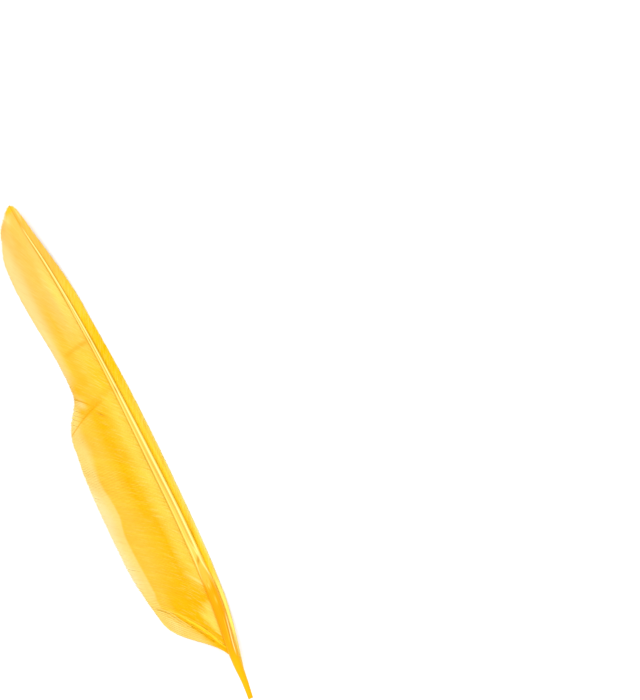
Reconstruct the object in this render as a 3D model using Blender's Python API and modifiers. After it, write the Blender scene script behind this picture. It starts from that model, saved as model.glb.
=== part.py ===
"""Turkey wing feather, dyed yellow: quill, grooved rachis and two vanes, grown as one piece.

It lies with its smooth upper side on the ground and its grooved underside up. The dimensions are in
millimetres, along the feather from the quill end and across it from the line that joins its two
ends. The solid is in metres, centred over the origin, with the tip towards +Y and the narrow leading
vane towards +X.
"""

import bmesh
import bpy
import numpy as np

TO_METRES = 0.001
CENTRE_ACROSS = -7.85
CENTRE_ALONG = 150.35

# Shaft: (station along the feather, value) pairs
SHAFT_END = 300.2
SHAFT_CENTRE = (
    (0, 0.35), (10, 1.4), (20, 2.0), (30, 2.9), (40, 4.3), (50, 5.6), (60, 6.5), (80, 7.45),
    (100, 7.95), (150, 7.8), (180, 7.45), (200, 6.95), (230, 5.5), (265, 2.6), (290, -0.4),
    (SHAFT_END, -1.0),
)
SHAFT_WIDTH = (
    (0, 2.8), (10, 3.6), (20, 4.9), (35, 5.6), (50, 6.2), (65, 6.2), (80, 5.6), (100, 5.0),
    (150, 4.0), (200, 2.6), (250, 1.7), (280, 1.0), (SHAFT_END, 0.5),
)
SHAFT_HEIGHT = (
    (0, 2.6), (10, 3.4), (20, 4.4), (50, 5.7), (80, 5.2), (150, 4.0), (200, 2.8), (250, 1.9),
    (280, 1.2), (SHAFT_END, 0.6),
)
SHAFT_SECTIONS = 62

# Quill: round. Rachis: flat below, with a groove between two ridges above
QUILL_ANGLES = (-110, -140, -175, 150, 125, 105, 90, 75, 55, 30, -5, -40, -70)
RACHIS_OUTLINE = (
    (-0.55, 0.0), (-0.95, 0.16), (-1.0, 0.5), (-0.84, 0.86), (-0.56, 1.0), (-0.22, 0.85),
    (0.0, 0.79), (0.22, 0.85), (0.56, 1.0), (0.84, 0.86), (1.0, 0.5), (0.95, 0.16), (0.55, 0.0),
)
RACHIS_FROM = 74.0
RACHIS_FULL = 94.0

# Pit where the groove begins, and the hollow at the cut end of the quill
PIT_STATION = 80.5
PIT_WIDTH = 2.0
PIT_LENGTH = 7.0
PIT_DEPTH = 0.9
HOLLOW_DIAMETER = 1.2
HOLLOW_DEPTH = 4.0

# Bow of the feather: the middle lies flat, both ends rise
FLAT_FROM = 88.0
FLAT_TO = 205.0
QUILL_RISE = 9.0
TIP_RISE = 9.0

# Trailing vane (broad, towards -X): where each barb leaves the shaft, where its tip meets the margin,
# and its lean from the shaft's direction at both ends, in degrees
TRAILING_TIPS = (
    (25.2, 58), (33, 68), (58, 93), (66, 101), (107, 136), (138, 170), (166, 192), (190, 221),
    (232, 270), (268, 295), (290, 299.3), (296, 300.3), (299.7, 300.7),
)
TRAILING_LEAN_AT_ROOT = ((25.2, 20), (33, 27), (66, 28), (90, 30), (115, 42), (150, 42), (195, 31), (299.7, 24))
TRAILING_LEAN_AT_TIP = ((25.2, 17), (33, 50), (66, 52), (90, 48), (130, 42), (165, 46), (195, 32), (299.7, 24))
TRAILING_MARGIN = (
    (58, -25.4), (66, -27.1), (84, -29.9), (108, -30.4), (132, -30.0), (150, -29.1), (162, -27.5),
    (170, -26.7), (176, -24.4), (181, -21.3), (186, -17.7), (190, -15.9), (195, -15.4), (216, -15.5),
    (234, -17.1), (246, -18.0), (267, -18.1), (274, -17.4), (282, -14.7), (290, -11.5), (296, -6.9),
    (299.3, -3.6), (300.3, -2.2), (300.7, -1.3),
)

# Leading vane (narrow, towards +X)
LEADING_TIPS = (
    (12, 47), (30, 55), (44, 64), (60, 76), (100, 114), (200, 213), (250, 262), (285, 297), (296, 300.1),
    (299.7, 300.6),
)
LEADING_LEAN_AT_ROOT = ((12, 15), (44, 18), (60, 20), (299.7, 18))
LEADING_LEAN_AT_TIP = ((12, 11), (44, 19), (60, 28), (299.7, 20))
LEADING_MARGIN = (
    (47, 10.6), (54, 11.8), (66, 12.9), (84, 14.1), (108, 14.8), (132, 15.1), (156, 15.1), (186, 14.5),
    (204, 13.6), (222, 12.5), (240, 11.4), (258, 9.1), (270, 6.9), (282, 4.7), (294, 2.6), (298.5, 1.4),
    (300.1, 0.3), (300.6, -0.5),
)

# Both vanes: a rib for each group of barbs, thickest where it grows from the shaft
VANE_ROWS = 113
TRAILING_COLUMNS = (0.0, 0.09, 0.2, 0.36, 0.52, 0.68, 0.84, 1.0)
LEADING_COLUMNS = (0.0, 0.34, 0.68, 1.0)
ROOT_INSIDE_SHAFT = 0.1
VANE_ABOVE_GROUND = 0.15
VANE_UP_QUILL = 0.3
ROOT_THICKNESS = 0.9
MARGIN_THICKNESS = 0.45
ROOT_SHARE_OF_SHAFT = 0.55
RIB_HEIGHT = 0.14
TIP_STAGGER = 0.35
TRAILING_FLAT_WIDTH = 15.0
TRAILING_MARGIN_LIFT = 3.0
TRAILING_WIDTH = 37.0
LEADING_FLAT_WIDTH = 3.5
LEADING_MARGIN_LIFT = 0.9
LEADING_WIDTH = 7.5

# Frayed barbs in the notch of the trailing margin, and parted places above and below it:
# (tip station, half length along the margin, how far the tips fall short)
PARTED_TIPS = ((183.5, 2.6, 1.6), (177.0, 1.6, 1.0), (266.0, 1.6, 1.5), (138.0, 1.8, 1.0), (93.0, 1.6, 0.9))

KERATIN_YELLOW = (0.99, 0.58, 0.045, 1.0)


def curve_through(points, at):
    """Value of the smooth curve through the (station, value) points, at each given station."""
    x, y = np.array(points, float).T
    slope = np.gradient(y, x)
    at = np.clip(at, x[0], x[-1])
    i = np.clip(np.searchsorted(x, at, side="right") - 1, 0, len(x) - 2)
    gap = x[i + 1] - x[i]
    t = (at - x[i]) / gap
    near = (1 + 2 * t) * (1 - t) ** 2 * y[i] + t * (1 - t) ** 2 * gap * slope[i]
    far = t**2 * (3 - 2 * t) * y[i + 1] - t**2 * (1 - t) * gap * slope[i + 1]
    return near + far


def ease(at, start, end):
    """0 before start, 1 after end, smooth between."""
    t = np.clip((at - start) / (end - start), 0, 1)
    return t * t * (3 - 2 * t)


def bow(station):
    """Height of the shaft's lower side over the ground."""
    quill = np.clip((FLAT_FROM - station) / FLAT_FROM, 0, None)
    tip = np.clip((station - FLAT_TO) / (SHAFT_END - FLAT_TO), 0, None)
    return QUILL_RISE * quill**2 + TIP_RISE * tip**2


def placed(across, along, up):
    """The point or points in metres, in the finished feather's own frame."""
    return np.stack([across - CENTRE_ACROSS, along - CENTRE_ALONG, up], axis=-1) * TO_METRES


def shaft(collection):
    """Loft from the round quill to the grooved rachis, closed by flat ends."""
    station = np.linspace(0, SHAFT_END, SHAFT_SECTIONS)
    angle = np.radians(QUILL_ANGLES)
    round_section = np.column_stack([np.cos(angle), 0.5 + 0.5 * np.sin(angle)])
    grooved = ease(station, RACHIS_FROM, RACHIS_FULL)[:, None, None]
    section = (1 - grooved) * round_section + grooved * np.array(RACHIS_OUTLINE)
    width = curve_through(SHAFT_WIDTH, station)[:, None]
    height = curve_through(SHAFT_HEIGHT, station)[:, None]
    x = curve_through(SHAFT_CENTRE, station)[:, None] + section[..., 0] * width / 2
    z = bow(station)[:, None] + section[..., 1] * height
    y = np.broadcast_to(station[:, None], x.shape)
    vertices = placed(x, y, z).reshape(-1, 3)
    around = len(QUILL_ANGLES)
    faces = [list(range(around)), list(range(len(vertices) - 1, len(vertices) - 1 - around, -1))]
    for row in range(SHAFT_SECTIONS - 1):
        for k in range(around):
            a = row * around + k
            b = row * around + (k + 1) % around
            faces.append([b, a, a + around, b + around])
    mesh = bpy.data.meshes.new("feather")
    mesh.from_pydata(vertices.tolist(), [], faces)
    obj = bpy.data.objects.new("feather", mesh)
    collection.objects.link(obj)
    return obj


def barb_paths(roots, side, tips, lean_at_root, lean_at_tip, margin, parted, columns, stagger):
    """Plan positions of the barbs: from each root on the shaft to its tip on the margin, rows by columns."""
    width = curve_through(SHAFT_WIDTH, roots)
    start = np.column_stack([curve_through(SHAFT_CENTRE, roots) + side * ROOT_INSIDE_SHAFT * width, roots])
    tip_station = curve_through(tips, roots)
    short = stagger
    for at, half, depth in parted:
        short = short + depth * np.clip(1 - np.abs(tip_station - at) / half, 0, 1)
    end = np.column_stack([curve_through(margin, tip_station) - side * short, tip_station])
    reach = np.linalg.norm(end - start, axis=1)[:, None] / 3
    lean = np.radians(curve_through(lean_at_root, roots))
    near = start + reach * np.column_stack([side * np.sin(lean), np.cos(lean)])
    lean = np.radians(curve_through(lean_at_tip, roots))
    far = end - reach * np.column_stack([side * np.sin(lean), np.cos(lean)])
    t = np.array(columns)[None, :, None]
    return (
        (1 - t) ** 3 * start[:, None]
        + 3 * t * (1 - t) ** 2 * near[:, None]
        + 3 * t**2 * (1 - t) * far[:, None]
        + t**3 * end[:, None]
    )


def vane(name, side, roots, paths, columns, flat_width, lift, full_width, collection):
    """A grid over the barb paths, smooth below, with a Solidify that thickens it upwards into ribs."""
    x = paths[..., 0]
    y = paths[..., 1]
    out = np.abs(x - curve_through(SHAFT_CENTRE, y))
    rise = lift * (np.clip(out - flat_width, 0, None) / (full_width - flat_width)) ** 2
    on_rachis = ease(roots, RACHIS_FROM, RACHIS_FULL)[:, None]
    height = curve_through(SHAFT_HEIGHT, roots)[:, None]
    attach = (1 - on_rachis) * VANE_UP_QUILL * height + on_rachis * VANE_ABOVE_GROUND
    t = np.array(columns)[None, :]
    z = bow(y) + rise + attach * (1 - t) + VANE_ABOVE_GROUND * t
    at_root = np.minimum(ROOT_THICKNESS, ROOT_SHARE_OF_SHAFT * height)
    thickness = at_root * (1 - t) + np.minimum(MARGIN_THICKNESS, at_root) * t
    thickness += RIB_HEIGHT * (np.arange(len(roots)) % 2)[:, None] * np.clip(4 * t, 0, 1)
    points = placed(x, y, z)[:, ::side]
    share = (thickness / thickness.max())[:, ::side]

    cage = bmesh.new()
    bmesh.ops.create_grid(cage, x_segments=len(columns) - 1, y_segments=len(roots) - 1, size=1)
    weight = cage.verts.layers.deform.verify()
    for vert, point, part in zip(cage.verts, points.reshape(-1, 3), share.ravel()):
        vert.co = point
        vert[weight][0] = part
    mesh = bpy.data.meshes.new(name)
    cage.to_mesh(mesh)
    cage.free()
    obj = bpy.data.objects.new(name, mesh)
    collection.objects.link(obj)
    obj.vertex_groups.new(name="thickness")
    solidify = obj.modifiers.new("thickness", "SOLIDIFY")
    solidify.thickness = thickness.max() * TO_METRES
    solidify.offset = 1
    solidify.vertex_group = "thickness"
    return obj


def combine(obj, other, operation):
    """Joins the other object to this one, or cuts it away, with an exact boolean."""
    modifier = obj.modifiers.new(other.name, "BOOLEAN")
    modifier.operation = operation
    modifier.solver = "EXACT"
    modifier.object = other


for old in list(bpy.data.objects):
    bpy.data.objects.remove(old, do_unlink=True)

whole = bpy.data.collections.new("turkey_wing_feather")
helpers = bpy.data.collections.new("helpers")
helpers.hide_render = True
bpy.context.scene.collection.children.link(whole)
bpy.context.scene.collection.children.link(helpers)

feather = shaft(whole)

trailing_roots = np.linspace(TRAILING_TIPS[0][0], TRAILING_TIPS[-1][0], VANE_ROWS)
trailing = vane(
    "trailing_vane", -1, trailing_roots,
    barb_paths(
        trailing_roots, -1, TRAILING_TIPS, TRAILING_LEAN_AT_ROOT, TRAILING_LEAN_AT_TIP,
        TRAILING_MARGIN, PARTED_TIPS, TRAILING_COLUMNS, TIP_STAGGER * (np.arange(VANE_ROWS) % 2),
    ),
    TRAILING_COLUMNS, TRAILING_FLAT_WIDTH, TRAILING_MARGIN_LIFT, TRAILING_WIDTH, helpers,
)
leading_roots = np.linspace(LEADING_TIPS[0][0], LEADING_TIPS[-1][0], VANE_ROWS)
leading = vane(
    "leading_vane", 1, leading_roots,
    barb_paths(
        leading_roots, 1, LEADING_TIPS, LEADING_LEAN_AT_ROOT, LEADING_LEAN_AT_TIP,
        LEADING_MARGIN, (), LEADING_COLUMNS, TIP_STAGGER * (np.arange(VANE_ROWS) % 2),
    ),
    LEADING_COLUMNS, LEADING_FLAT_WIDTH, LEADING_MARGIN_LIFT, LEADING_WIDTH, helpers,
)

bpy.ops.mesh.primitive_uv_sphere_add(
    segments=14, ring_count=8, radius=1,
    location=placed(
        curve_through(SHAFT_CENTRE, PIT_STATION),
        PIT_STATION,
        bow(PIT_STATION) + curve_through(SHAFT_HEIGHT, PIT_STATION),
    ),
)
pit = bpy.context.object
pit.name = "pit"
pit.scale = [value * TO_METRES for value in (PIT_WIDTH / 2, PIT_LENGTH / 2, PIT_DEPTH)]

bpy.ops.mesh.primitive_cylinder_add(
    vertices=12, radius=HOLLOW_DIAMETER / 2 * TO_METRES, depth=2 * HOLLOW_DEPTH * TO_METRES,
    location=placed(SHAFT_CENTRE[0][1], 0, bow(0) + SHAFT_HEIGHT[0][1] / 2),
    rotation=(np.pi / 2, 0, 0),
)
hollow = bpy.context.object
hollow.name = "hollow"

for helper in (trailing, leading, pit, hollow):
    for collection in list(helper.users_collection):
        collection.objects.unlink(helper)
    helpers.objects.link(helper)
    helper.hide_render = True
    helper.display_type = "WIRE"

combine(feather, trailing, "UNION")
combine(feather, leading, "UNION")
combine(feather, pit, "DIFFERENCE")
combine(feather, hollow, "DIFFERENCE")

keratin = bpy.data.materials.new("dyed_keratin")
keratin.use_nodes = True
surface = keratin.node_tree.nodes["Principled BSDF"]
surface.inputs["Base Color"].default_value = KERATIN_YELLOW
surface.inputs["Roughness"].default_value = 0.55
feather.data.materials.append(keratin)
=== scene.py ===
"""A turkey wing feather, dyed yellow, lying with its grooved underside up.

Sizes are in millimetres, along the feather from the quill end and across it from the line that joins
its two ends. Only those of the table and the light, and how far the camera sees, are in metres. The
narrow leading vane is on the +X side and the tip is towards +Y.
"""

import math

import bpy
import numpy as np
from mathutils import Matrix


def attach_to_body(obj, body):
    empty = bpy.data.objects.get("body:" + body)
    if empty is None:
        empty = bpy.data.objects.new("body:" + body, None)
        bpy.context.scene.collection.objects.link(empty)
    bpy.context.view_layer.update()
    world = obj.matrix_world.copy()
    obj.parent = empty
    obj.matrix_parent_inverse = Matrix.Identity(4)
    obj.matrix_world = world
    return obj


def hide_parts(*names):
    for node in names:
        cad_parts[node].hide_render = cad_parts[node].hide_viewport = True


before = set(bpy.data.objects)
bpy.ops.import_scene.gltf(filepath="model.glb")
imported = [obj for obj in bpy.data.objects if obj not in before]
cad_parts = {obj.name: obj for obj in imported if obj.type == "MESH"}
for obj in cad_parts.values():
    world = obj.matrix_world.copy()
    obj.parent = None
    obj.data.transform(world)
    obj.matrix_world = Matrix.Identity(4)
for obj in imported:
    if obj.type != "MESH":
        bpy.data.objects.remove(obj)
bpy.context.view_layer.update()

# The camera: it looks straight down through a long lens, so that the feather keeps its true outline. The
# feather runs up the left of the picture, turned so that its tip leans to the left.
MM = 0.001
CENTRE_ACROSS = -7.85
CENTRE_ALONG = 150.35
VIEW_TURN = 25.886
VIEW_ACROSS = 117.5
VIEW_ALONG = 154.9
VIEW_HEIGHT_SEEN = 383.6
LENS = 400.0
SENSOR = 36.0
FARTHEST_SEEN = 20.0


def placed(across, along, up):
    """Points in metres from arrays of millimetres across, along and up. The frame's origin is on the
    table, under the middle of the solid's box."""
    return np.stack([across - CENTRE_ACROSS, along - CENTRE_ALONG, up], axis=-1) * MM


camera_data = bpy.data.cameras.new("camera")
camera_data.lens = LENS
camera_data.sensor_width = SENSOR
camera_data.clip_end = FARTHEST_SEEN
camera = bpy.data.objects.new("camera", camera_data)
camera.location = placed(VIEW_ACROSS, VIEW_ALONG, VIEW_HEIGHT_SEEN * LENS / SENSOR)
camera.rotation_euler = (0, 0, -math.radians(VIEW_TURN))
bpy.context.scene.collection.objects.link(camera)
bpy.context.scene.camera = camera

# The table: a wide flat board with a face of white laminate, glued on under pressure. The feather lies
# on it, and it is the stage only, no part of the feather.
TABLE_REACH = 4.0
TABLE_GAP = 0.0002


def linear(colour):
    """An sRGB hex colour as linear red, green, blue and an alpha of 1."""
    s = np.array([int(colour[i : i + 2], 16) for i in (1, 3, 5)]) / 255
    return (*np.where(s <= 0.04045, s / 12.92, ((s + 0.055) / 1.055) ** 2.4), 1.0)


table_mesh = bpy.data.meshes.new("table_top")
corners = [(x * TABLE_REACH, y * TABLE_REACH, -TABLE_GAP) for x, y in ((-1, -1), (1, -1), (1, 1), (-1, 1))]
table_mesh.from_pydata(corners, [], [(0, 1, 2, 3)])
table = bpy.data.objects.new("table_top", table_mesh)
bpy.context.scene.collection.objects.link(table)
# White laminate, rolled smooth: an even matt white
laminate = bpy.data.materials.new("white_laminate")
laminate.use_nodes = True
board = laminate.node_tree.nodes["Principled BSDF"]
board.inputs["Base Color"].default_value = linear("#F8F8F8")
board.inputs["Roughness"].default_value = 0.8
board.inputs["Specular IOR Level"].default_value = 0.2
table_mesh.materials.append(laminate)

# The light: a broad soft box hangs almost overhead, a little to the side of the trailing vane, and the
# white room lights the rest.
LIGHT_PLACE = (-0.35, 0.15, 1.7)
LIGHT_SIZE = 2.0
LIGHT_POWER = 20.0
ROOM_BRIGHTNESS = 1.1
world = bpy.data.worlds.new("room")
world.use_nodes = True
world.node_tree.nodes["Background"].inputs["Color"].default_value = (1.0, 1.0, 1.0, 1.0)
world.node_tree.nodes["Background"].inputs["Strength"].default_value = ROOM_BRIGHTNESS
bpy.context.scene.world = world
soft_box = bpy.data.lights.new("soft_box", "AREA")
soft_box.shape = "SQUARE"
soft_box.size = LIGHT_SIZE
soft_box.energy = LIGHT_POWER
soft_light = bpy.data.objects.new("soft_box", soft_box)
soft_light.location = LIGHT_PLACE
soft_light.rotation_euler = (0, math.atan2(LIGHT_PLACE[0], LIGHT_PLACE[2]), 0)
bpy.context.scene.collection.objects.link(soft_light)
bpy.context.scene.view_settings.view_transform = "Standard"
bpy.context.scene.view_settings.look = "None"

# The shaft: one tapering tube of keratin, the stuff of horn, grown from the skin. The bare quill is
# round; above a small pit it is the rachis, squarer, filled with pith and grooved along its underside.
# The dye bath coloured it all, deepest in the quill.
SHAFT_END = 300.2
# Its middle line, width and height, as (station, millimetres)
SHAFT_CENTRE = (
    (0, 0.35), (10, 1.4), (20, 2.0), (30, 2.9), (40, 4.3), (50, 5.6), (60, 6.5), (80, 7.45),
    (100, 7.95), (150, 7.8), (180, 7.45), (200, 6.95), (230, 5.5), (265, 2.6), (290, -0.4),
    (SHAFT_END, -1.0),
)
SHAFT_WIDTH = (
    (0, 2.8), (10, 3.6), (20, 4.9), (35, 5.6), (50, 6.2), (65, 6.2), (80, 5.6), (100, 5.0),
    (150, 4.0), (200, 2.6), (250, 1.7), (280, 1.0), (SHAFT_END, 0.5),
)
SHAFT_HEIGHT = (
    (0, 2.6), (10, 3.4), (20, 4.4), (50, 5.7), (80, 5.2), (150, 4.0), (200, 2.8), (250, 1.9),
    (280, 1.2), (SHAFT_END, 0.6),
)
# It lies flat between these stations and bows up from the table towards both ends
FLAT_FROM = 88.0
FLAT_TO = 205.0
QUILL_RISE = 9.0
TIP_RISE = 9.0


def curve_through(points, at):
    """Value at each station of the smooth curve through (station, value) points: a cubic between
    neighbours whose slope at each point is the mean slope on its two sides."""
    x, y = np.array(points, float).T
    slope = np.gradient(y, x)
    at = np.clip(at, x[0], x[-1])
    i = np.clip(np.searchsorted(x, at, side="right") - 1, 0, len(x) - 2)
    gap = x[i + 1] - x[i]
    t = (at - x[i]) / gap
    near = (1 + 2 * t) * (1 - t) ** 2 * y[i] + t * (1 - t) ** 2 * gap * slope[i]
    far = t**2 * (3 - 2 * t) * y[i + 1] - t**2 * (1 - t) * gap * slope[i + 1]
    return near + far


def ease(at, start, end):
    """0 before start, 1 after end, and a smooth cubic step between."""
    t = np.clip((at - start) / (end - start), 0, 1)
    return t * t * (3 - 2 * t)


def between(at, start, full, fading, gone):
    """0 before start, 1 from full to fading and 0 after gone, with smooth cubic steps."""
    return ease(at, start, full) * (1 - ease(at, fading, gone))


def hump(at, centre, half):
    """1 at the centre, falling as a bell to nearly 0 at twice the half width."""
    return np.exp(-(((at - centre) / half) ** 2))


def bow(station):
    """Height of the shaft's lower side over the table: flat in the middle, rising with the square of
    the distance towards both ends."""
    quill = np.clip((FLAT_FROM - station) / FLAT_FROM, 0, None)
    tip = np.clip((station - FLAT_TO) / (SHAFT_END - FLAT_TO), 0, None)
    return QUILL_RISE * quill**2 + TIP_RISE * tip**2


def blended(parts):
    """Colours mixed by weight: parts are (hex colour, weight array), each laid over those before it."""
    shape = np.broadcast_shapes(*(np.shape(weight) for name, weight in parts))
    colour = np.zeros((*shape, 4))
    for name, weight in parts:
        share = np.clip(np.broadcast_to(weight, shape), 0, 1)[..., None]
        colour = colour + (np.array(linear(name)) - colour) * share
    return colour


def grown(name, vertices, faces, attributes, uv=None):
    """A smooth-shaded mesh object at the origin from points in metres and faces, with its colour and
    number attributes for each point, riding on the feather's body and standing for its solid."""
    mesh = bpy.data.meshes.new(name)
    mesh.from_pydata(vertices.tolist(), [], faces)
    for label, values in attributes.items():
        if values.ndim > 1:
            made = mesh.color_attributes.new(label, "FLOAT_COLOR", "POINT")
            made.data.foreach_set("color", np.ascontiguousarray(values, np.float32).ravel())
        else:
            made = mesh.attributes.new(label, "FLOAT", "POINT")
            made.data.foreach_set("value", np.ascontiguousarray(values, np.float32))
    if uv is not None:
        corner = np.empty(len(mesh.loops), np.int32)
        mesh.loops.foreach_get("vertex_index", corner)
        layer = mesh.uv_layers.new(name="along_barb")
        layer.data.foreach_set("uv", np.ascontiguousarray(uv[corner], np.float32).ravel())
    mesh.shade_smooth()
    piece = bpy.data.objects.new(name, mesh)
    bpy.context.scene.collection.objects.link(piece)
    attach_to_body(piece, "root")
    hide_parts("feather")
    return piece


ROWS = 380
AROUND = 72
# The quill is cut open at its end: how deep the hollow goes, its share of the width, and that of the
# small face in the middle of its floor
HOLLOW_DEPTH = 4.0
HOLLOW_SHARE = 0.6
HOLLOW_FLOOR = 0.02
# Where the round quill turns into the squarer rachis, and the powers of their sections
RACHIS_FROM = 72.0
RACHIS_FULL = 92.0
QUILL_POWER = 2.0
RACHIS_POWER = 4.4
inner_rings = np.array([(HOLLOW_DEPTH, HOLLOW_FLOOR), (HOLLOW_DEPTH, HOLLOW_SHARE), (0.0, HOLLOW_SHARE)])
station = np.concatenate([inner_rings[:, 0], np.linspace(0, SHAFT_END, ROWS)])
bore = np.concatenate([inner_rings[:, 1], np.ones(ROWS)])[:, None]
angle = np.linspace(0, 2 * np.pi, AROUND, endpoint=False)[None, :]
along = station[:, None]
width = curve_through(SHAFT_WIDTH, along)
height = curve_through(SHAFT_HEIGHT, along)
# Each ring is the curve on which |across| and |up| to the power add up to 1. What follows is worked out
# on it: across runs from -1 on the trailing side to 1, and up from 0 below to 1 on the grooved side.
rachis = ease(along, RACHIS_FROM, RACHIS_FULL)
power = QUILL_POWER + (RACHIS_POWER - QUILL_POWER) * rachis
spoke = (np.abs(np.cos(angle)) ** power + np.abs(np.sin(angle)) ** power) ** (-1 / power)
across = spoke * np.cos(angle)
up = 0.5 + 0.5 * spoke * np.sin(angle)
# Only the upper side carries marks
lit = ease(up, 0.6, 0.92)
# The groove wanders from the leading side to the middle, between two rounded ridges
groove_at = 0.18 - 0.28 * ease(along, 112, 150) + 0.1 * ease(along, 165, 190)
groove = rachis * hump(across, groove_at, 0.17) * lit * (1 - 0.4 * ease(along, 130, 155))
groove = groove * (1 - ease(along, 225, 275))
groove_line = between(along, 170, 186, 226, 246) * hump(across, 0.0, 0.12) * lit
left_ridge = rachis * hump(across, -0.68 + 0.2 * ease(along, 165, 190), 0.15) * lit
right_ridge = rachis * hump(across, 0.54 - 0.16 * ease(along, 140, 190), 0.23) * lit
inner_line = rachis * hump(across, -0.48, 0.07) * lit * (1 - ease(along, 126, 136))
# Towards the tip the side of the rachis next to the broad vane is darkened with painted shade
edge_shade = between(along, 225, 245, 284, 292) * (1 - ease(across, -0.75, -0.3)) * lit
# The pit, a slot where the groove begins, and the two low ridges that part from it down the quill
pit = hump(along, 80.6 + 4.5 * across, 1.5) * hump(across, -0.08, 0.36) * lit
fork = between(along, 67, 73, 86, 94)
left_fork = fork * hump(across, -0.66 - 0.02 * (82 - along), 0.1) * lit
right_fork = fork * hump(across, 0.34 + 0.045 * (82 - along), 0.12) * lit
# A raised strand along the quill's leading flank, where the lowest barbs come out of it, painted pale as a
# highlight, and lines of painted shade to both sides of it
strand_at = 0.5 + 0.017 * (along - 26)
strand = between(along, 24, 29, 45, 50) * hump(across, strand_at, 0.09) * lit
strand_side = between(along, 26, 31, 43, 48) * hump(across, strand_at - 0.25, 0.09) * lit
strand_edge = between(along, 28, 33, 46, 50) * hump(across, strand_at + 0.2, 0.09) * lit
hairline = between(along, 31, 35, 44, 49) * hump(across, strand_at - 0.52, 0.06) * lit
# The quill's deep colour ends in a ragged edge, and darker lines and two pale spots lie on it
ragged = along + 2.0 * np.sin(9 * across) + 1.3 * np.sin(23 * across + 1)
quill_lines = ease(np.sin(19 * across + 0.6 * np.sin(0.11 * along)), 0.2, 1.0) * lit
quill_lines = quill_lines * ease(along, 22, 30) * (1 - ease(ragged, 62, 68))
pale_spots = (
    0.6 * hump(along, 57, 2.2) * hump(across, 0.12, 0.12) * lit,
    0.7 * hump(along, 65.5, 1.6) * hump(across, -0.15, 0.14) * lit,
)
# Where the growth bars cross the rachis, each leaves a brown mark in its groove
bar_marks = (hump(along, 184.0, 2.4) + hump(along, 214.8, 2.2)) * hump(across, 0.02, 0.24) * lit
# The skin is finely lined along the shaft
striae = 0.005 * np.sin(angle * 31 + 0.6 * np.sin(along * 0.05)) + 0.003 * np.sin(angle * 53 + along * 0.02)
up = up - 0.16 * groove + 0.02 * left_ridge + 0.03 * right_ridge - 0.14 * pit
up = up + 0.035 * left_fork + 0.045 * right_fork + 0.04 * strand - 0.03 * strand_side
skin = 1 + striae * (1 - 0.5 * rachis)
x = curve_through(SHAFT_CENTRE, along) + across * bore * skin * width / 2
z = np.maximum(bow(along) + (0.5 + (up - 0.5) * bore * skin) * height, bow(along))
points = placed(x, np.broadcast_to(along, x.shape), z)
ring = np.arange(len(station) - 1)[:, None] * AROUND + np.arange(AROUND)[None, :]
next_one = np.roll(ring, -1, axis=1)
sides = np.stack([ring, ring + AROUND, next_one + AROUND, next_one], axis=-1).reshape(-1, 4)
last = (len(station) - 1) * AROUND
ends = [list(range(AROUND)), list(range(last + AROUND - 1, last - 1, -1))]
in_hollow = (np.arange(len(station)) < len(inner_rings))[:, None]
before_tip = 1 - ease(along, 278, 290)
shaft_colour = blended([
    # From the quill's end to the tip
    ("#E2A505", np.ones(x.shape)),
    ("#E29D02", ease(along, 18, 30)),
    ("#E19701", ease(along, 30, 40)),
    ("#E29B03", ease(along, 50, 60)),
    ("#D98500", 0.6 * quill_lines),
    ("#E2AC38", ease(ragged, 64, 69)),
    ("#DFBC50", ease(along, 74, 86)),
    ("#DEB64C", ease(along, 95, 130)),
    ("#E2C163", ease(along, 205, 240)),
    ("#E4B654", ease(along, 278, 290)),
    # Near the tip the shaft is darkened with painted shade
    ("#D79A0D", ease(along, 283, 289) * hump(across, 0, 0.9)),
    # The ridges, the groove and the sides of the rachis
    # The ridges are pale partly in their own colour and partly as painted highlight
    ("#E4CF64", 0.9 * left_ridge * before_tip),
    ("#E5E08B", right_ridge * before_tip),
    # The groove and the line in it are darkened with painted shade
    ("#D9B048", 0.6 * groove),
    ("#D09A30", 0.7 * groove_line),
    ("#B9781A", 0.75 * bar_marks),
    ("#DDAA30", 0.5 * inner_line),
    # The lower sides of the rachis, and its leading side by the pit, are darkened with painted shade
    ("#D8A31C", rachis * (1 - lit)),
    ("#DCA60E", 0.8 * ease(across, 0.72, 0.9) * between(along, 68, 74, 94, 110)),
    # Painted shade on the rachis's trailing side towards the tip
    ("#C78911", edge_shade),
    # The pit and the marks on the quill
    # The two ridges from the pit are pale partly as painted highlight
    ("#E3D378", 0.9 * left_fork),
    ("#E4DA80", right_fork),
    # The pit is darkened with painted shade
    ("#C2870A", 0.85 * pit),
    # The pale strand on the flank is a painted highlight, with painted shade to both sides of it
    ("#E5DC92", strand),
    ("#CF8E10", 0.8 * strand_edge),
    ("#BE8224", 0.9 * strand_side),
    ("#E5BC33", 0.8 * hairline),
    ("#DFBD4C", pale_spots[0]),
    ("#E1C45A", pale_spots[1]),
    # Inside the hollow the colour is darkened with painted shade
    ("#6D4000", 0.85 * in_hollow),
])
shaft = grown(
    "shaft", points.reshape(-1, 3), sides.tolist() + ends, {"dye_and_painted_light": shaft_colour.reshape(-1, 4)},
)


def node(tree, kind, settings=None, **links):
    """A shader node with its settings, whose sockets take a value or another node's output. A
    socket goes by its name, or by its number as s0, s1 and so on."""
    made = tree.nodes.new(kind)
    for name, value in (settings or {}).items():
        setattr(made, name, value)
    for name, value in links.items():
        socket = made.inputs[int(name[1:]) if name[1:].isdigit() else name.replace("_", " ")]
        if isinstance(value, bpy.types.NodeSocket):
            tree.links.new(value, socket)
        else:
            socket.default_value = value
    return made


# Dyed keratin, smooth as it grew: waxy, slightly glossy and warm in its reflections
keratin = bpy.data.materials.new("dyed_quill_keratin")
keratin.use_nodes = True
tree = keratin.node_tree
surface = tree.nodes["Principled BSDF"]
dye_and_painted_light = node(tree, "ShaderNodeAttribute", {"attribute_name": "dye_and_painted_light"})
tree.links.new(dye_and_painted_light.outputs["Color"], surface.inputs["Base Color"])
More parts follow.
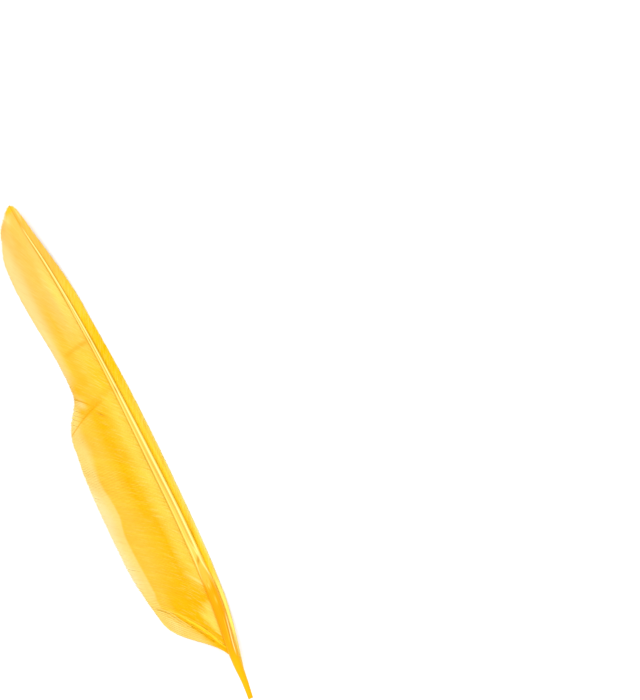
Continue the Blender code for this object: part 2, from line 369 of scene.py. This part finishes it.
# Fine lines of growth along the shaft, drawn a few times coarser than the real ones
place = node(tree, "ShaderNodeTexCoord")
drawn_out = node(tree, "ShaderNodeMapping", Vector=place.outputs["Object"], Scale=(2200, 60, 2200))
lines = node(tree, "ShaderNodeTexNoise", Vector=drawn_out.outputs["Vector"], Scale=1.0, Detail=3.0)
relief = node(tree, "ShaderNodeBump", Strength=0.25, Distance=0.00006, Height=lines.outputs["Fac"])
tree.links.new(relief.outputs["Normal"], surface.inputs["Normal"])
gloss = node(tree, "ShaderNodeMapRange", Value=lines.outputs["Fac"], To_Min=0.3, To_Max=0.5)
tree.links.new(gloss.outputs["Result"], surface.inputs["Roughness"])
surface.inputs["IOR"].default_value = 1.54
surface.inputs["Specular IOR Level"].default_value = 0.3
surface.inputs["Specular Tint"].default_value = linear("#FFD060")
shaft.data.materials.append(keratin)

# The trailing vane: some three hundred barbs grown side by side from the shaft and hooked together
# into one sheet. They curve towards the tip, lie long and loose at the base, and shorten at the notch.
TRAILING_ROOTS = (25.2, 299.7)
# For a barb's station at the shaft: its station at the margin, and its lean at its two ends in degrees
TRAILING_TIPS = (
    (25.2, 58), (33, 68), (58, 93), (66, 101), (107, 136), (138, 170), (166, 192), (190, 221),
    (232, 270), (268, 295), (290, 299.3), (296, 300.3), (299.7, 300.7),
)
TRAILING_LEAN_AT_ROOT = (
    (25.2, 20), (33, 27), (66, 28), (90, 30), (115, 42), (150, 42), (195, 31), (299.7, 24),
)
TRAILING_LEAN_AT_TIP = (
    (25.2, 17), (33, 50), (66, 52), (90, 48), (130, 42), (165, 46), (195, 32), (299.7, 24),
)
# The margin, as (station, place across)
TRAILING_MARGIN = (
    (58, -25.4), (66, -27.1), (84, -29.9), (108, -30.4), (132, -30.0), (150, -29.1), (162, -27.5),
    (170, -26.7), (176, -24.4), (181, -21.3), (186, -17.7), (190, -15.9), (195, -15.4), (216, -15.5),
    (234, -17.1), (246, -18.0), (267, -18.1), (274, -17.4), (282, -14.7), (290, -11.5), (296, -6.9),
    (299.3, -3.6), (300.3, -2.2), (300.7, -1.3),
)
# Distance between barbs along the shaft, wider than in life so that each shows, and the places along a
# barb where its mesh has a ring
BARB_PITCH = 0.9
TRAILING_STEPS = np.array([0.0, 0.05, 0.13, 0.22, 0.32, 0.43, 0.54, 0.65, 0.76, 0.87, 0.975, 1.0])
# Section of a barb: across in half widths, then its share of the ridge's height and of the depth
BARB_SECTION = np.array([(-1.0, 0.0, 1.0), (0.15, 1.0, 1.0), (1.0, 0.0, 0.72), (0.0, 0.0, 0.0)])
BARB_RIDGE = 0.07
BARB_OVERLAP = 1.4
BARB_TAPER = 1.2
# How far above the table the lowest barb stays
LOWEST = 0.03
# How far the vane lies flat beside the shaft's middle, how high its margin lifts, and how far out
FLAT_VANE = 15.0
MARGIN_LIFT = 3.0
MARGIN_OUT = 37.0
# How far above the rachis's bottom the vane lies, and how far up the quill the lowest barbs come out
# of it, as a share of its height
VANE_LOW = 0.15
UP_QUILL = 0.3
# Places where the vane has parted: station at the margin, how far along it the barbs bend away, the
# opening, and how far out the split begins
TRAILING_PARTS = (
    (93.5, 1.8, 0.2, 0.7), (120.0, 1.2, 0.2, 0.9), (137.0, 1.3, 0.4, 0.92), (178.2, 0.9, 0.3, 0.8),
    (180.4, 0.7, 0.32, 0.76), (182.4, 0.7, 0.34, 0.72), (184.6, 0.8, 0.32, 0.74), (189.8, 1.0, 0.12, 0.7),
    (266.0, 1.4, 0.55, 0.9),
)
# How far barbs fall short of the margin, as the spread of a normal draw, and the share of its distance
# from the middle of its clump by which a barb's tip is drawn in
TRAILING_SHORTFALL = 0.22
TRAILING_CLUMPING = 0.012
chance = np.random.default_rng(7)


def barb_paths(roots, side, tips, lean_at_root, lean_at_tip, margin, steps, shortfall):
    """Plan positions of the barbs, barbs by steps by 2: each a cubic Bezier curve from its root beside
    the shaft's middle to its tip. It leaves and arrives at its own lean, with handles a third of the
    straight distance long. The tip falls short of the margin, along the barb, by its shortfall."""
    width = curve_through(SHAFT_WIDTH, roots)
    start = np.column_stack([curve_through(SHAFT_CENTRE, roots) + side * 0.3 * width, roots])
    tip_station = curve_through(tips, roots)
    lean = np.radians(curve_through(lean_at_root, roots))
    leaving = np.column_stack([side * np.sin(lean), np.cos(lean)])
    lean = np.radians(curve_through(lean_at_tip, roots))
    arriving = np.column_stack([side * np.sin(lean), np.cos(lean)])
    end = np.column_stack([curve_through(margin, tip_station), tip_station]) - shortfall[:, None] * arriving
    third = np.linalg.norm(end - start, axis=1)[:, None] / 3
    near = start + third * leaving
    far = end - third * arriving
    t = steps[None, :, None]
    path = (
        (1 - t) ** 3 * start[:, None]
        + 3 * t * (1 - t) ** 2 * near[:, None]
        + 3 * t**2 * (1 - t) * far[:, None]
        + t**3 * end[:, None]
    )
    return path, tip_station


def vane_floor(x, y, t, roots, up_quill, flat, lift, full):
    """Height of the vane's lower face: it leaves the quill part of the way up and the rachis near its
    bottom, lies flat, and from there rises with the square of the distance, to its lift where it is
    full out from the shaft."""
    out = np.abs(x - curve_through(SHAFT_CENTRE, y))
    rise = lift * (np.clip(out - flat, 0, None) / (full - flat)) ** 2
    on_rachis = ease(roots, 74, 94)[:, None]
    attach = (1 - on_rachis) * up_quill * curve_through(SHAFT_HEIGHT, roots)[:, None] + on_rachis * VANE_LOW
    return bow(y) + rise + attach * (1 - t) + VANE_LOW * t


def out_from_shaft(x, y, side, margin):
    """Distance out from the shaft's edge, on the side that is -1 for the trailing and 1 for the leading
    vane, and that distance as a share of the way from the shaft's edge to the margin."""
    edge = curve_through(SHAFT_CENTRE, y) + side * curve_through(SHAFT_WIDTH, y) / 2
    off_shaft = side * (x - edge)
    reach = side * (curve_through(margin, np.maximum(y, margin[0][0])) - edge)
    return off_shaft, off_shaft / reach


def clumped(count):
    """Each barb's clump and its place there: barbs keep together in clumps of 2 to 6. Gives a random
    value for each clump, the barb's place from -0.5 to 0.5, and the clump's size."""
    sizes = chance.integers(2, 7, count)
    starts = np.concatenate([[0], np.cumsum(sizes)])[:count]
    mine = np.searchsorted(starts, np.arange(count), side="right") - 1
    place = (np.arange(count) - starts[mine] + 0.5) / sizes[mine] - 0.5
    value = np.clip(chance.normal(0, 1, count), -1.7, 1.7)
    return value[mine][:, None], place[:, None], sizes[mine][:, None]


def uneven_dye(clump):
    """Factor for the green and blue of each barb's colour: clumps and single barbs took the dye a
    little unequally, which turns them more orange or more yellow."""
    return (1 + 0.015 * clump + 0.012 * chance.normal(0, 1, clump.shape))[..., None]


def barbs(name, path, floor, depth, attributes, half_width=None):
    """One closed ribbon for each path: the section, a low roof over a keel, is carried along it. A
    point is the path's point, moved sideways by its share of the half width and up from the floor by
    its shares of the depth and the ridge. Unless its half width is given, a ribbon is wider than the
    gap to its neighbours, so that each edge runs into the next barb. It narrows at its tip."""
    count, steps = path.shape[:2]
    tangent = np.gradient(path, axis=1)
    tangent /= np.linalg.norm(tangent, axis=-1, keepdims=True)
    normal = np.stack([tangent[..., 1], -tangent[..., 0]], axis=-1)
    gap = np.abs((np.gradient(path, axis=0) * normal).sum(-1))
    stretches = np.linalg.norm(np.diff(path, axis=1), axis=-1)
    length = np.concatenate([np.zeros((count, 1)), np.cumsum(stretches, axis=1)], axis=1)
    taper = np.clip((length[:, -1:] - length) / BARB_TAPER, 0.05, 1)
    half = np.clip(gap, 0.2, 2.0) * BARB_OVERLAP / 2 if half_width is None else half_width
    half = half * taper
    side, ridge, deep = BARB_SECTION.T
    k = len(side)
    spot = path[..., None, :] + normal[..., None, :] * (side * half[..., None])[..., None]
    body = depth * (0.4 + 0.6 * taper)
    floor = np.maximum(floor, LOWEST)
    up = floor[..., None] + deep * body[..., None] + ridge * BARB_RIDGE * taper[..., None]
    points = placed(spot[..., 0], spot[..., 1], up)
    base = (np.arange(count)[:, None, None] * steps + np.arange(steps - 1)[None, :, None]) * k
    here = base + np.arange(k)
    there = base + np.roll(np.arange(k), -1)
    sides = np.stack([here, there, there + k, here + k], axis=-1).reshape(-1, 4)
    foot = (np.arange(count) * steps * k)[:, None] + np.arange(k)[::-1]
    tip = (np.arange(count) * steps * k + (steps - 1) * k)[:, None] + np.arange(k)
    # The map runs along the barb and then from barb to barb, in units of 100 mm and 100 barbs
    number = np.arange(count)[:, None, None] + 0.45 * side
    uv = np.stack(np.broadcast_arrays(length[..., None], number), axis=-1).reshape(-1, 2) / 100
    spread = {}
    for label, values in attributes.items():
        repeated = np.repeat(values[:, :, None], k, axis=2)
        spread[label] = repeated.reshape(-1, *values.shape[2:])
    faces = sides.tolist() + foot.tolist() + tip.tolist()
    return grown(name, points.reshape(-1, 3), faces, spread, uv)


roots = np.arange(*TRAILING_ROOTS, BARB_PITCH)
t = TRAILING_STEPS[None, :]
shortfall = np.abs(chance.normal(0, TRAILING_SHORTFALL, len(roots)))
path, tip_station = barb_paths(
    roots, -1, TRAILING_TIPS, TRAILING_LEAN_AT_ROOT, TRAILING_LEAN_AT_TIP, TRAILING_MARGIN,
    TRAILING_STEPS, shortfall,
)
clump, in_clump, clump_size = clumped(len(roots))
# Barbs of a clump draw together towards their tips; those beside a split bend away from it
path[..., 1] -= TRAILING_CLUMPING * in_clump * clump_size * BARB_PITCH * t**2
for at, spread, opening, begins in TRAILING_PARTS:
    away = tip_station - at
    push = opening * np.sign(away) * np.exp(-np.abs(away) / spread)
    path[..., 1] += push[:, None] * ease(t, begins, 1.0)
x, y = path[..., 0], path[..., 1]
off_shaft, share = out_from_shaft(x, y, -1, TRAILING_MARGIN)


def wave(x, y, share):
    """Height of the shallow waves that run slantwise over the vane, and die out beside the shaft."""
    return 0.12 * np.sin(0.21 * y + 0.32 * x) * ease(share, 0.1, 0.4)


floor = vane_floor(x, y, t, roots, UP_QUILL, FLAT_VANE, MARGIN_LIFT, MARGIN_OUT) + wave(x, y, share)
uneven = 1 - 0.6 * ease(roots, 140, 200)[:, None]
floor = floor + uneven * (0.005 * clump + 0.008 * in_clump) * ease(t, 0.05, 0.3)
# Under the loose bundle the barbs stand up along one line, with a sunken line beside it
at_root = roots[:, None]
bundle = hump(at_root, 29.9 + 6.6 * t, 0.9) * between(t, 0.04, 0.12, 0.7, 0.85)
sunken = hump(at_root, 27.9 + 6.3 * t, 0.7) * ease(t, 0.12, 0.3)
depth = np.minimum(0.62 - 0.4 * t, 0.5 * curve_through(SHAFT_HEIGHT, at_root)) + 0.2 * bundle - 0.1 * sunken
# Marks along single barbs: a darker line beside the bundle, painted shade by the step where it stands up,
# and a pale line beside it, a pale one beside the pit, and two dark ones at the notch, the outer one painted
# shade along a narrow split
inside_bundle = hump(at_root, 31.9 + 6.9 * t, 0.6) * between(t, 0.04, 0.12, 0.6, 0.8)
outside_bundle = hump(at_root, 26.0 + 7.5 * t, 0.6) * between(t, 0.4, 0.5, 0.85, 0.95)
near_pit = hump(at_root, 65.6 + 1.5 * t, 1.2) * (1 - ease(t, 0.16, 0.3))
notch_edge = hump(at_root, 163.8, 0.6) * ease(t, 0.66, 0.8)
inner_mark = hump(at_root, 160.9, 0.8) * hump(t, 0.52, 0.07)
# The broad lobe below the notch, its foot, and the part above the notch
lobe = 1 - ease(y, 172, 205)
low = 1 - ease(y, 60, 92)
upper = ease(y, 205, 245)
# A darker line of painted shade wanders up the middle of the vane
SHADED_LINE = (
    (60, -6), (85, -4.6), (100, -4), (120, -7), (140, -8), (175, -8), (212, -7), (240, -7.5), (270, -5),
    (301, -3),
)
shaded_line = hump(x, curve_through(SHADED_LINE, y), 2.6)
# A pale window beside the quill, over the lowest barbs
WINDOW_EDGE = ((36, 1.5), (39, -0.3), (43, -1.8), (50, -3.4), (54, -2.7), (57, -0.6), (60, 2.5))
window = ease(x - curve_through(WINDOW_EDGE, y), 0, 0.7) * between(y, 36.5, 38, 56, 58.5)
beside_low_shaft = ease(y, 61, 73) * (1 - ease(off_shaft, 0.5, 4.5))
# The tip is stained a clearer yellow
tip_stain = ease(y - 0.12 * x, 296.0, 297.2)
trailing_colour = blended([
    # The lobe, then the part above the notch
    ("#E5B337", np.ones(x.shape)),
    ("#E4AF1D", ease(x, -16, -9)),
    # Painted sheen: the vane is paler beside the shaft
    ("#E4C449", 1 - ease(off_shaft, 3.0, 10.5)),
    # Painted shade along the middle line of the lobe
    ("#E4A905", lobe * shaded_line),
    ("#E3B93C", 1 - lobe),
    ("#E4B75E", upper),
    ("#E3C680", (1 - lobe) * (1 - ease(x, -14.5, -10))),
    # Painted shade along the middle line above the notch
    ("#E4B133", 0.9 * (1 - lobe) * shaded_line),
    ("#E1AA1B", 0.4 * hump(y, 205, 16) * hump(x, -8.4, 1.6)),
    # Higher up, that line of painted shade fades
    ("#E4B553", upper * ease(y, 232, 250) * shaded_line),
    # Around the notch
    ("#E2A800", 0.85 * hump(y, 193.5, 5.5) * hump(x, -12.6, 3.4)),
    ("#E2A800", 0.6 * hump(y, 196, 2.5) * hump(x, -6.0, 2.4)),
    ("#E1A600", hump(y, 181.4, 2.0) * hump(x, -14.4, 2.9)),
    ("#E1C784", 0.8 * hump(y, 185.4, 2.2) * hump(x, -13.8, 1.6)),
    ("#E4B91D", 0.8 * hump(y, 192, 12) * (1 - ease(off_shaft, 4, 9))),
    # Beside the shaft, at the foot and at the tip
    # Painted sheen beside the shaft above the notch, less of it towards the tip
    ("#E4CA5E", upper * (1 - ease(off_shaft, 2, 7)) * (1 - 0.8 * ease(y, 246, 276))),
    ("#E4A902", low * ease(x, -20, -15) * (1 - beside_low_shaft)),
    ("#E3C750", window),
    ("#E3BC26", tip_stain),
    ("#E3D080", hump(x, -6.2, 1.8) * hump(y, 293.6, 2.2)),
    # Along single barbs
    # Where the bundle stands up it is paler, partly as painted highlight
    ("#E5C130", 0.6 * bundle),
    # Painted shade beside the raised bundle
    ("#DE9C00", 0.6 * inside_bundle),
    ("#E5C974", 0.4 * outside_bundle),
    # Painted shade in the sunken line
    ("#DE9E00", 0.55 * sunken),
    ("#E4CF74", 0.8 * near_pit),
    # Painted shade along a narrow split at the notch
    ("#CE8F00", 0.75 * notch_edge),
    ("#C98906", inner_mark),
])
trailing_colour[..., 1:3] *= uneven_dye(clump)
# The pale border: its inner edge runs up beside the bundle, then nearly straight up the lobe
PALE_BORDER = (
    (30, -4.5), (38, -6.8), (47, -11.8), (54, -17), (60, -20.3), (72, -21.8), (85, -22.4), (100, -23.0),
    (112, -22.8), (120, -21.0), (130, -21.4), (140, -22.4), (150, -21.4), (160, -19.6), (168, -20.0),
    (178, -18), (184, -15.5), (188, -19), (200, -21), (301, -30),
)
# How far inside the border a point is, in millimetres, less where the border is blurred. At the foot
# it stays half dyed, but for a paler streak.
blurred = 1 + 3 * ease(y, 134, 165) + 3 * (1 - ease(y, 50, 60))
pale_streak = hump(x, -19.2, 1.8) * between(y, 47, 50, 57, 60)
half_dyed = 0.38 + 0.6 * pale_streak + 8 * ease(y, 70, 92)
in_border = np.minimum((curve_through(PALE_BORDER, y) - x) / blurred, half_dyed)
trailing = {"dye_and_painted_light": trailing_colour, "in_border": in_border, "off_shaft": off_shaft + 2 * ease(y, 278, 290)}

# Dyed barbs, hooked into a web by their barbules: satin, softly streaked and ribbed, never glossy.
# The dye took less at the border, and growth bars cross the barbs where the bird fed badly.
web = bpy.data.materials.new("vane_keratin")
web.use_nodes = True
tree = web.node_tree
surface = tree.nodes["Principled BSDF"]


def dye_and_shade_patch(tree, under, colour, place, full, faint, strength=1.0):
    """A colour laid over the one below it: at its strength where the place value reaches full, and
    fading along a smooth cubic step to nothing at faint."""
    weight = node(
        tree, "ShaderNodeMapRange", {"interpolation_type": "SMOOTHSTEP"},
        Value=place, From_Min=faint, From_Max=full, To_Max=strength,
    )
    laid = node(
        tree, "ShaderNodeMix", {"data_type": "RGBA"},
        s0=weight.outputs["Result"], s6=under, s7=linear(colour),
    )
    return laid.outputs[2]


dye_and_painted_light = node(tree, "ShaderNodeAttribute", {"attribute_name": "dye_and_painted_light"}).outputs["Color"]
border = node(tree, "ShaderNodeAttribute", {"attribute_name": "in_border"}).outputs["Fac"]
beside = node(tree, "ShaderNodeAttribute", {"attribute_name": "off_shaft"}).outputs["Fac"]
dye_and_painted_light = dye_and_shade_patch(tree, dye_and_painted_light, "#E4C56E", border, 0.9, -0.5)
dye_and_painted_light = dye_and_shade_patch(tree, dye_and_painted_light, "#E3CF94", border, 8.0, 1.0)
# Streaks that follow the barbs, about 8 mm long and one barb wide, stronger beside the shaft
barb_map = node(tree, "ShaderNodeUVMap", {"uv_map": "along_barb"})
drawn_out = node(tree, "ShaderNodeMapping", Vector=barb_map.outputs["UV"], Scale=(100 / 8, 100 / 0.8, 1))
streaks = node(
    tree, "ShaderNodeTexNoise", {"noise_dimensions": "2D"},
    Vector=drawn_out.outputs["Vector"], Scale=1.0, Detail=3.0, Roughness=0.6,
).outputs["Fac"]
strength = node(
    tree, "ShaderNodeMapRange", Value=beside, From_Min=14.0, From_Max=4.0, To_Min=0.15, To_Max=0.33,
)
dye_and_painted_light = dye_and_shade_patch(tree, dye_and_painted_light, "#E5D17C", streaks, 0.72, 0.5, strength.outputs["Result"])
dye_and_painted_light = dye_and_shade_patch(tree, dye_and_painted_light, "#DC9D00", streaks, 0.26, 0.5, strength.outputs["Result"])
# Painted shade where the barbs leave the shaft: a thin darker line beside it
dye_and_painted_light = dye_and_shade_patch(tree, dye_and_painted_light, "#D4A118", beside, 0.15, 0.7, 0.45)
# Growth bars: each a curve across the barbs, given by its station on the middle line, slope and bend,
# half width and strength; then the middle of its reach across the vane, and how far to each side of
# that it is full and where it has gone
place = node(tree, "ShaderNodeTexCoord")
axes = node(tree, "ShaderNodeSeparateXYZ", s0=place.outputs["Object"])
across = node(
    tree, "ShaderNodeMath", {"operation": "MULTIPLY_ADD"}, s0=axes.outputs["X"], s1=1 / MM, s2=CENTRE_ACROSS,
).outputs[0]
along = node(
    tree, "ShaderNodeMath", {"operation": "MULTIPLY_ADD"}, s0=axes.outputs["Y"], s1=1 / MM, s2=CENTRE_ALONG,
).outputs[0]
GROWTH_BARS = (
    (182.2, 0.15, -0.0105, 0.65, 0.75, -18.0, 8.0, 13.0),
    (182.6, 0.16, -0.0105, 2.0, 0.45, -9.5, 4.5, 10.0),
    (185.0, 0.22, -0.01, 3.2, 0.2, -2.0, 6.0, 11.0),
    (214.5, 0.14, -0.006, 2.4, 0.42, -1.5, 5.0, 10.0),
)
for at, slope, bend, half, depth_of_colour, middle, full, gone in GROWTH_BARS:
    leaned = node(tree, "ShaderNodeMath", {"operation": "MULTIPLY_ADD"}, s0=across, s1=bend, s2=slope)
    bar = node(tree, "ShaderNodeMath", {"operation": "MULTIPLY_ADD"}, s0=leaned.outputs[0], s1=across, s2=at)
    apart = node(tree, "ShaderNodeMath", {"operation": "SUBTRACT"}, s0=along, s1=bar.outputs[0])
    apart = node(tree, "ShaderNodeMath", {"operation": "ABSOLUTE"}, s0=apart.outputs[0])
    sideways = node(tree, "ShaderNodeMath", {"operation": "SUBTRACT"}, s0=across, s1=middle)
    sideways = node(tree, "ShaderNodeMath", {"operation": "ABSOLUTE"}, s0=sideways.outputs[0])
    reach = node(
        tree, "ShaderNodeMapRange", Value=sideways.outputs[0], From_Min=gone, From_Max=full,
        To_Max=depth_of_colour,
    )
    dye_and_painted_light = dye_and_shade_patch(tree, dye_and_painted_light, "#DA9700", apart.outputs[0], 0.0, half, reach.outputs["Result"])
tree.links.new(dye_and_painted_light, surface.inputs["Base Color"])
# Barbules, the side hooks of the barbs, drawn some ten times coarser than the real ones
barbules = node(
    tree, "ShaderNodeTexWave", {"bands_direction": "X"},
    Vector=barb_map.outputs["UV"], Scale=80.0, Distortion=1.5,
)
relief = node(tree, "ShaderNodeBump", Strength=0.2, Distance=0.00003, Height=barbules.outputs["Fac"])
tree.links.new(relief.outputs["Normal"], surface.inputs["Normal"])
gloss = node(tree, "ShaderNodeMapRange", Value=streaks, From_Min=0.3, From_Max=0.7, To_Min=0.68, To_Max=0.52)
tree.links.new(gloss.outputs["Result"], surface.inputs["Roughness"])
surface.inputs["IOR"].default_value = 1.54
surface.inputs["Specular IOR Level"].default_value = 0.22
surface.inputs["Specular Tint"].default_value = linear("#FFD060")

half_way = len(roots) // 2
halves = {"lower_trailing_barbs": slice(0, half_way), "upper_trailing_barbs": slice(half_way, None)}
for name, part in halves.items():
    fields = {label: values[part] for label, values in trailing.items()}
    vane = barbs(name, path[part], floor[part], depth[part], fields)
    vane.data.materials.append(web)

# The loose bundle: a few long soft barbs at the foot of the trailing vane, unhooked from the rest. They grow
# from the quill with its lowest barbs and lie across the vane, drawn together into thin strands, pale where
# they stand up, partly as painted highlight, and darkened with painted shade in the furrows between.
STRAND_STEPS = 20
# Each strand's half width, how far it stands up, its colour, and its middle line as (station, place across).
# The deep colours, in the furrows, are painted shade; the pale ones are partly painted highlight.
STRANDS = (
    (0.5, 0.3, "#E5C01C", (
        (30, 1.0), (33.6, -1.2), (40, -4.2), (45.7, -7.5), (50, -10.0), (53.2, -12.1), (55, -13.4),
    )),
    (0.28, 0.16, "#D99D00", (
        (36.5, -4.3), (39.5, -6.2), (44.2, -8.7), (47.6, -10.9), (52.8, -14.0), (55, -15.4),
    )),
    (0.33, 0.34, "#E5C331", (
        (36, -1.8), (42, -4.5), (46, -6.7), (48.5, -8.4), (52, -10.9), (55.6, -13.5), (60.4, -16.6),
    )),
    (0.25, 0.16, "#DEA500", ((44, -4.8), (48, -7.3), (52, -10.2), (56, -13.0), (60, -15.8))),
    (0.3, 0.2, "#E1BF58", (
        (49, -12.1), (53.7, -14.9), (55.9, -16.3), (60.6, -18.8), (64, -21.6), (67, -25.0),
    )),
    (0.22, 0.14, "#DFB340", ((52, -14.4), (55.9, -17.0), (60.9, -19.4), (62.8, -21.3), (66.3, -25.2))),
    (0.27, 0.19, "#E1C060", ((50.5, -14.1), (55.9, -17.7), (59.5, -19.8), (62, -21.7))),
    (0.22, 0.14, "#DDB040", ((52, -15.2), (55.9, -18.4), (58.9, -20.3), (61, -21.9))),
)
# The strands take their height from the barb that starts here, and about this much of each is sunk in
# the barbs below it
STRAND_ROOT = 30.0
STRAND_DEPTH = 0.12
half_width, stands, colours, lines = zip(*STRANDS)
half_width = np.array(half_width)[:, None]
stands = np.array(stands)[:, None]
first = np.array([points[0][0] for points in lines])[:, None]
last = np.array([points[-1][0] for points in lines])[:, None]
y = first + (last - first) * np.linspace(0, 1, STRAND_STEPS)
x = np.array([curve_through(points, at) for points, at in zip(lines, y)])
share = out_from_shaft(x, y, -1, TRAILING_MARGIN)[1]
# They lie on top of the barbs, which are thick beside the quill and thin at the margin
start = np.full(len(x), STRAND_ROOT)
floor = vane_floor(x, y, share, start, UP_QUILL, FLAT_VANE, MARGIN_LIFT, MARGIN_OUT) + wave(x, y, share)
floor = floor + 0.4 - 0.3 * share
strand_colour = np.array([linear(colour) for colour in colours])[:, None] * np.ones((*x.shape, 1))
strands = {"dye_and_painted_light": strand_colour, "in_border": np.full(x.shape, -5.0), "off_shaft": np.full(x.shape, 20.0)}
bundle = barbs("loose_barbs", np.stack([x, y], axis=-1), floor, STRAND_DEPTH + stands, strands, half_width)
bundle.data.materials.append(web)

# The leading vane: short stiff barbs on the edge that meets the air, lying closer to the shaft. The
# lowest ones lie along the quill's flank.
LEADING_ROOTS = (12, 299.7)
LEADING_TIPS = (
    (12, 47), (30, 55), (44, 64), (60, 76), (100, 114), (200, 213), (250, 262), (285, 297), (296, 300.1),
    (299.7, 300.6),
)
LEADING_LEAN_AT_ROOT = ((12, 15), (44, 18), (60, 20), (299.7, 18))
LEADING_LEAN_AT_TIP = ((12, 11), (44, 19), (60, 28), (299.7, 20))
LEADING_MARGIN = (
    (47, 10.6), (54, 11.8), (66, 12.9), (84, 14.1), (108, 14.8), (132, 15.1), (156, 15.1), (186, 14.5),
    (204, 13.6), (222, 12.5), (240, 11.4), (258, 9.1), (270, 6.9), (282, 4.7), (294, 2.6), (298.5, 1.4),
    (300.1, 0.3), (300.6, -0.5),
)
LEADING_STEPS = np.array([0.0, 0.12, 0.26, 0.42, 0.58, 0.75, 0.92, 1.0])
LEADING_UP_QUILL = 0.5
LEADING_FLAT = 3.5
LEADING_LIFT = 0.9
LEADING_OUT = 7.5
LEADING_SHORTFALL = 0.15
LEADING_CLUMPING = 0.03
roots = np.arange(*LEADING_ROOTS, BARB_PITCH)
t = LEADING_STEPS[None, :]
shortfall = np.abs(chance.normal(0, LEADING_SHORTFALL, len(roots)))
path, tip_station = barb_paths(
    roots, 1, LEADING_TIPS, LEADING_LEAN_AT_ROOT, LEADING_LEAN_AT_TIP, LEADING_MARGIN, LEADING_STEPS,
    shortfall,
)
clump, in_clump, clump_size = clumped(len(roots))
path[..., 1] -= LEADING_CLUMPING * in_clump * clump_size * BARB_PITCH * t**2
x, y = path[..., 0], path[..., 1]
off_shaft, share = out_from_shaft(x, y, 1, LEADING_MARGIN)
floor = vane_floor(x, y, t, roots, LEADING_UP_QUILL, LEADING_FLAT, LEADING_LIFT, LEADING_OUT)
floor = floor + (0.02 * clump + 0.03 * in_clump) * ease(t, 0.05, 0.3)
depth = np.minimum(0.6 - 0.35 * t, 0.5 * curve_through(SHAFT_HEIGHT, roots[:, None]))
# The lowest barbs are pale and deep by turns, partly as painted highlight on their clumps and painted shade
# in the gaps between
on_flank = 1 - ease(roots, 30, 60)[:, None]
turns = np.sin(roots * 1.1)[:, None]
leading_colour = blended([
    ("#E4C135", np.ones(x.shape)),
    # Beside the shaft: painted light that offsets the shade of the shaft, and towards the tip a darker line
    # of painted shade
    ("#FFDC40", 0.7 * hump(y, 130, 50) * hump(off_shaft, 1.9, 0.7)),
    ("#FFCF00", 0.85 * between(y, 63, 69, 225, 250) * (1 - ease(off_shaft, 0.6, 1.9))),
    ("#C18414", between(y, 225, 245, 286, 294) * (1 - ease(off_shaft, 0.0, 0.7))),
    # From the middle to the tip, and then on the quill's flank
    ("#E4CD5E", hump(y, 115, 26) * ease(share, 0.45, 0.8)),
    ("#E3B805", hump(y, 206, 24)),
    ("#E1D579", hump(y, 92, 13) * ease(share, 0.55, 0.9)),
    ("#E4C952", hump(y, 160, 12) * ease(share, 0.5, 0.9)),
    ("#E4BD33", ease(y, 226, 242)),
    ("#E1B145", ease(y, 246, 262)),
    ("#DFCA6D", 1 - ease(y, 58, 78)),
    # Pale and deep turns on the quill's flank: partly painted highlight and painted shade
    ("#DCAF2C", 0.7 * on_flank * hump(turns, -1, 0.5)),
    ("#E4D484", 0.7 * on_flank * hump(turns, 1, 0.5)),
    ("#E3BC26", ease(y - 0.12 * x, 296.0, 297.2) * (1 - ease(off_shaft, 0.8, 1.4))),
    ("#E5C96B", ease(y, 288, 293) * hump(off_shaft, 1.5, 0.5)),
    # Painted light beside the quill, offsetting its shade on the paler lowest barbs
    ("#FFF268", 0.9 * hump(off_shaft, 1.1, 0.55) * between(y, 34, 40, 62, 72)),
    # Painted shade where the vane meets the quill
    ("#E09A00", 0.8 * (1 - ease(off_shaft, 0.3, 0.7)) * between(y, 45, 50, 62, 68)),
    ("#C98A10", 0.8 * hump(off_shaft, -0.2, 0.3) * between(y, 30, 38, 46, 50)),
])
leading_colour[..., 1:3] *= uneven_dye(clump)
# This vane has no pale border
outside = np.full(x.shape, -5.0)
leading = {"dye_and_painted_light": leading_colour, "in_border": outside, "off_shaft": off_shaft + 2 * ease(y, 278, 290)}
vane = barbs("leading_barbs", path, floor, depth, leading)
vane.data.materials.append(web)
